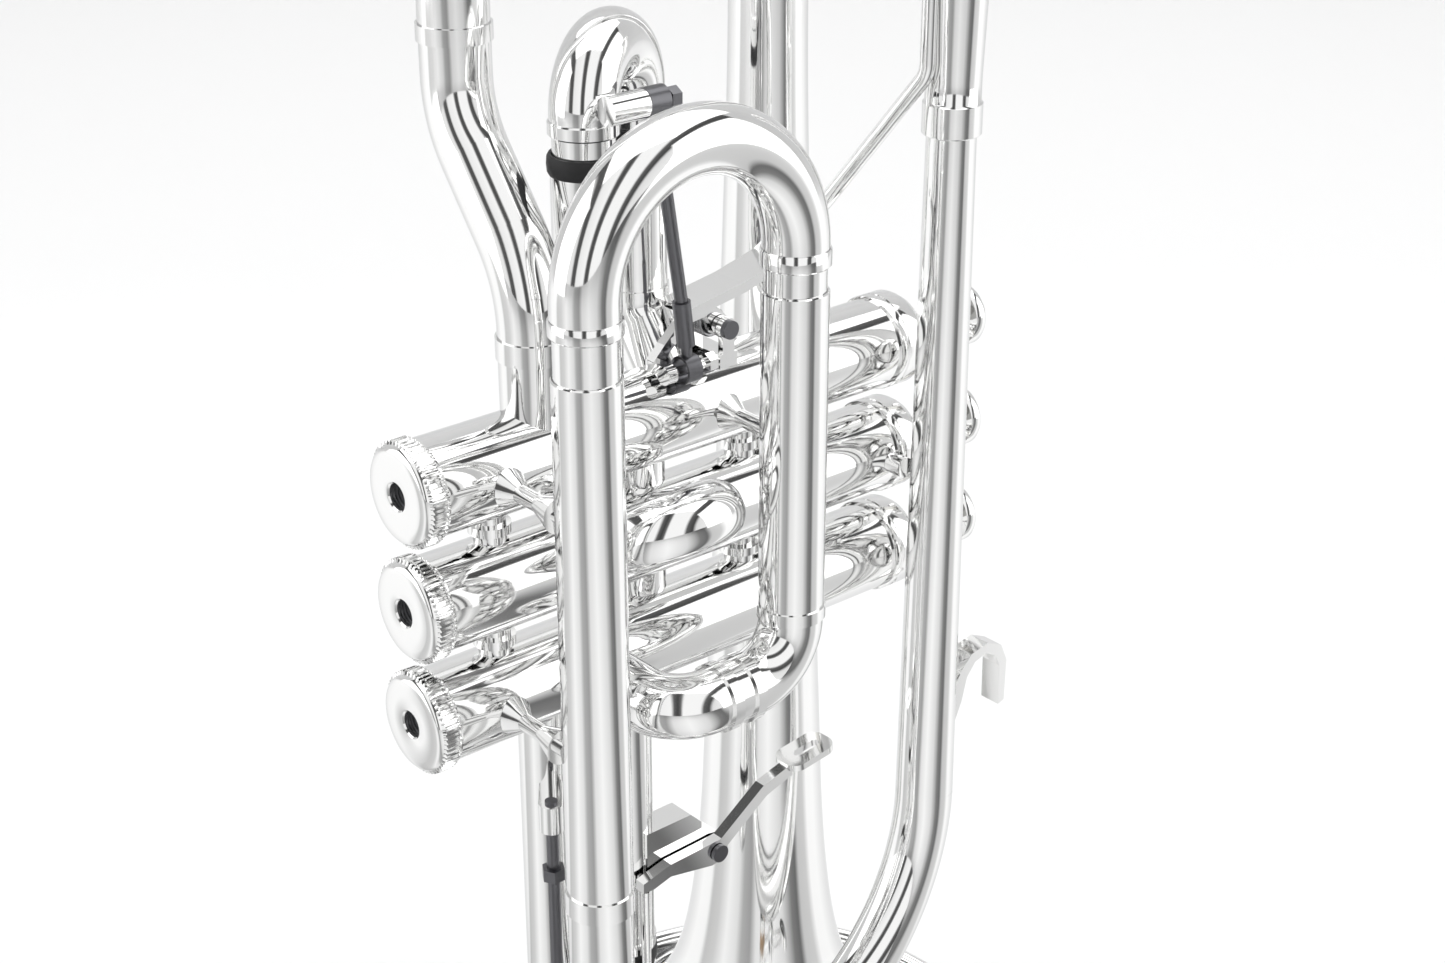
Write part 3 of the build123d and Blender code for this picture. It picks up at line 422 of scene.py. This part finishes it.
# ---- springs ----------------------------------------------------------------
def helix(c, axis, r, length, turns, wire, n=24):
    axis = Vector(axis).normalized()
    e1 = axis.orthogonal().normalized()
    e2 = axis.cross(e1)
    m = int(turns * n)
    return [c + axis * (length * MM * i / m) + (e1 * math.cos(2 * math.pi * i / n) + e2 * math.sin(2 * math.pi * i / n)) * (r * MM)
            for i in range(m + 1)]


for k, z in ((1, 23.8), (2, 0.0), (3, -23.8)):
    s = Soup()
    s.sweep(helix(pt(3.9, 0, z), X, 5.8, 28.2, 11, 0.35), 0.38, 0, 10)
    o = obj("valve_coil_%d" % k, s.v, s.f, "spring_steel", ("valve_spring_%d" % k,))
s = Soup()
s.sweep(helix(pt(74.3, -0.6, 39.4), (0, 1, 0), 2.72, 4.1, 5, 0.35), 0.38, 0, 12)
obj("thumb_coil", s.v, s.f, "spring_steel", ("thumb_lever_spring",))

# ---- stage -------------------------------------------------------------------
me = bpy.data.meshes.new("floor")
R = 3.0
verts, faces = [], []
prof = [(-R, 0.0), (0.6, 0.0), (1.1, 0.05), (1.45, 0.35), (1.6, 0.9), (1.65, 3.0)]
dirv = Vector((0.5874, 0.6917, 0)).normalized()
side = Vector((-dirv.y, dirv.x, 0))
for d, h in prof:
    for w in (-4.0, 4.0):
        verts.append(tuple(dirv * d + side * w + Vector((0, 0, h - 0.0002))))
for i in range(len(prof) - 1):
    faces.append((2 * i, 2 * i + 1, 2 * i + 3, 2 * i + 2))
me.from_pydata(verts, [], faces)
for q in me.polygons:
    q.use_smooth = True
floor = bpy.data.objects.new("floor", me)
bpy.context.scene.collection.objects.link(floor)
fm = bpy.data.materials.new("floor_painted_reflection_bands")
fm.use_nodes = True
fm.node_tree.nodes["Principled BSDF"].inputs["Base Color"].default_value = (0.93, 0.93, 0.93, 1)
fm.node_tree.nodes["Principled BSDF"].inputs["Roughness"].default_value = 0.8
fn = fm.node_tree
fb = fn.nodes["Principled BSDF"]
fb.inputs["Specular IOR Level"].default_value = 0.0
# painted reflections: the floor's base colour gets dark bands by angle around the instrument on the camera side, so the
# silver tubes reflect them as their dark bands
geo = fn.nodes.new("ShaderNodeNewGeometry")
fwd = fn.nodes.new("ShaderNodeVectorMath")
fwd.operation = "DOT_PRODUCT"
fwd.inputs[1].default_value = (-0.6473, -0.7622, 0.0)
lat = fn.nodes.new("ShaderNodeVectorMath")
lat.operation = "DOT_PRODUCT"
lat.inputs[1].default_value = (0.7622, -0.6473, 0.0)
at = fn.nodes.new("ShaderNodeMath")
at.operation = "ARCTAN2"
mp = fn.nodes.new("ShaderNodeMapRange")
mp.inputs["From Min"].default_value = -1.75
mp.inputs["From Max"].default_value = 1.75
painted_band_ramp = fn.nodes.new("ShaderNodeValToRGB")
fn.links.new(geo.outputs["Position"], fwd.inputs[0])
fn.links.new(geo.outputs["Position"], lat.inputs[0])
fn.links.new(lat.outputs["Value"], at.inputs[0])
fn.links.new(fwd.outputs["Value"], at.inputs[1])
fn.links.new(at.outputs["Value"], mp.inputs["Value"])
fn.links.new(mp.outputs["Result"], painted_band_ramp.inputs["Fac"])
fn.links.new(painted_band_ramp.outputs["Color"], fb.inputs["Base Color"])
# painted reflection bands: position along the angle range and grey level of each band
painted_reflection_bands = [(0.0, 0.93), (0.05, 0.93), (0.085, 0.55), (0.16, 0.62), (0.24, 0.9), (0.32, 0.75), (0.36, 0.42), (0.42, 0.34), (0.46, 0.75),
       (0.55, 0.92), (0.66, 0.70), (0.74, 0.20), (0.79, 0.14), (0.825, 0.55), (0.90, 0.6), (0.95, 0.93), (1.0, 0.93)]
while len(painted_band_ramp.color_ramp.elements) < len(painted_reflection_bands):
    painted_band_ramp.color_ramp.elements.new(0.5)
for e_, (ps, v) in zip(painted_band_ramp.color_ramp.elements, painted_reflection_bands):
    e_.position = ps
for e_, (ps, v) in zip(painted_band_ramp.color_ramp.elements, painted_reflection_bands):
    e_.color = (v, v, v, 1)
me.materials.append(fm)


def card(name, loc, target, w, h, power, color=(1, 1, 1)):
    ld = bpy.data.lights.new(name, "AREA")
    ld.shape = "RECTANGLE"
    ld.size, ld.size_y = w, h
    ld.energy = power
    ld.color = color
    lo = bpy.data.objects.new(name, ld)
    bpy.context.scene.collection.objects.link(lo)
    lo.location = loc
    lo.rotation_euler = (Vector(target) - Vector(loc)).to_track_quat("-Z", "Y").to_euler()
    return lo


back = Vector((-0.5874, -0.6917, 0.4203))
right = Vector((0.7622, -0.6473, 0.0))
up = back.cross(right)
mid = Vector((0.0, 0.0, 0.18))
card("key_top", tuple(mid + up * 1.1 + back * 0.3), mid, 1.6, 1.2, 6.5)
card("fill_left", tuple(mid - right * 1.2 + back * 0.25 + up * 0.15), mid, 1.1, 1.6, 4.0)
card("fill_right", tuple(mid + right * 1.2 + back * 0.2 + up * 0.2), mid, 1.1, 1.6, 4.5)

w = bpy.context.scene.world or bpy.data.worlds.new("world")
bpy.context.scene.world = w
w.use_nodes = True
nt = w.node_tree
nt.nodes.clear()
out = nt.nodes.new("ShaderNodeOutputWorld")
bg = nt.nodes.new("ShaderNodeBackground")
tc = nt.nodes.new("ShaderNodeTexCoord")
# the studio seen in the metal: bright all round, with a dark band behind the camera and two dark uprights
dotn = nt.nodes.new("ShaderNodeVectorMath")
dotn.operation = "DOT_PRODUCT"
dotn.inputs[1].default_value = tuple(right)
rampn = nt.nodes.new("ShaderNodeValToRGB")
cr = rampn.color_ramp
cr.interpolation = "LINEAR"
stops = [(0.0, 0.95), (0.13, 0.85), (0.16, 0.10), (0.22, 0.08), (0.25, 0.9), (0.42, 1.0), (0.455, 0.12), (0.50, 0.06), (0.535, 0.14),
         (0.56, 1.0), (0.76, 1.0), (0.79, 0.12), (0.85, 0.06), (0.88, 0.8), (1.0, 0.95)]
while len(cr.elements) < len(stops):
    cr.elements.new(0.5)
for e_, (ps, v) in zip(cr.elements, stops):
    e_.position = ps
for e_, (ps, v) in zip(cr.elements, stops):
    e_.color = (v, v, v, 1)
mr = nt.nodes.new("ShaderNodeMapRange")
mr.inputs["From Min"].default_value = -1.0
mr.inputs["From Max"].default_value = 1.0
nt.links.new(tc.outputs["Generated"], dotn.inputs[0])
nt.links.new(dotn.outputs["Value"], mr.inputs["Value"])
nt.links.new(mr.outputs["Result"], rampn.inputs["Fac"])
nt.links.new(rampn.outputs["Color"], bg.inputs["Color"])
bg.inputs["Strength"].default_value = 0.85
nt.links.new(bg.outputs["Background"], out.inputs["Surface"])

# ---- camera ------------------------------------------------------------------
cd = bpy.data.cameras.new("camera")
cd.sensor_width = 36.0
cd.sensor_fit = "HORIZONTAL"
cd.lens = 58.57
cd.clip_start = 0.01
cam = bpy.data.objects.new("camera", cd)
bpy.context.scene.collection.objects.link(cam)
az, el = math.radians(-40.34), math.radians(24.85)
b_ = Vector((math.sin(az) * math.cos(el), -math.cos(az) * math.cos(el), math.sin(el)))
r_ = Vector((math.cos(az), math.sin(az), 0.0))
u_ = b_.cross(r_)
m4 = Matrix.Identity(4)
for i in range(3):
    m4[i][0], m4[i][1], m4[i][2] = r_[i], u_[i], b_[i]
m4.translation = Vector((-0.3120, -0.35319, 0.37999))
cam.matrix_world = m4
bpy.context.scene.camera = cam
bpy.context.scene.view_settings.view_transform = "Standard"
bpy.context.scene.view_settings.exposure = 0.22
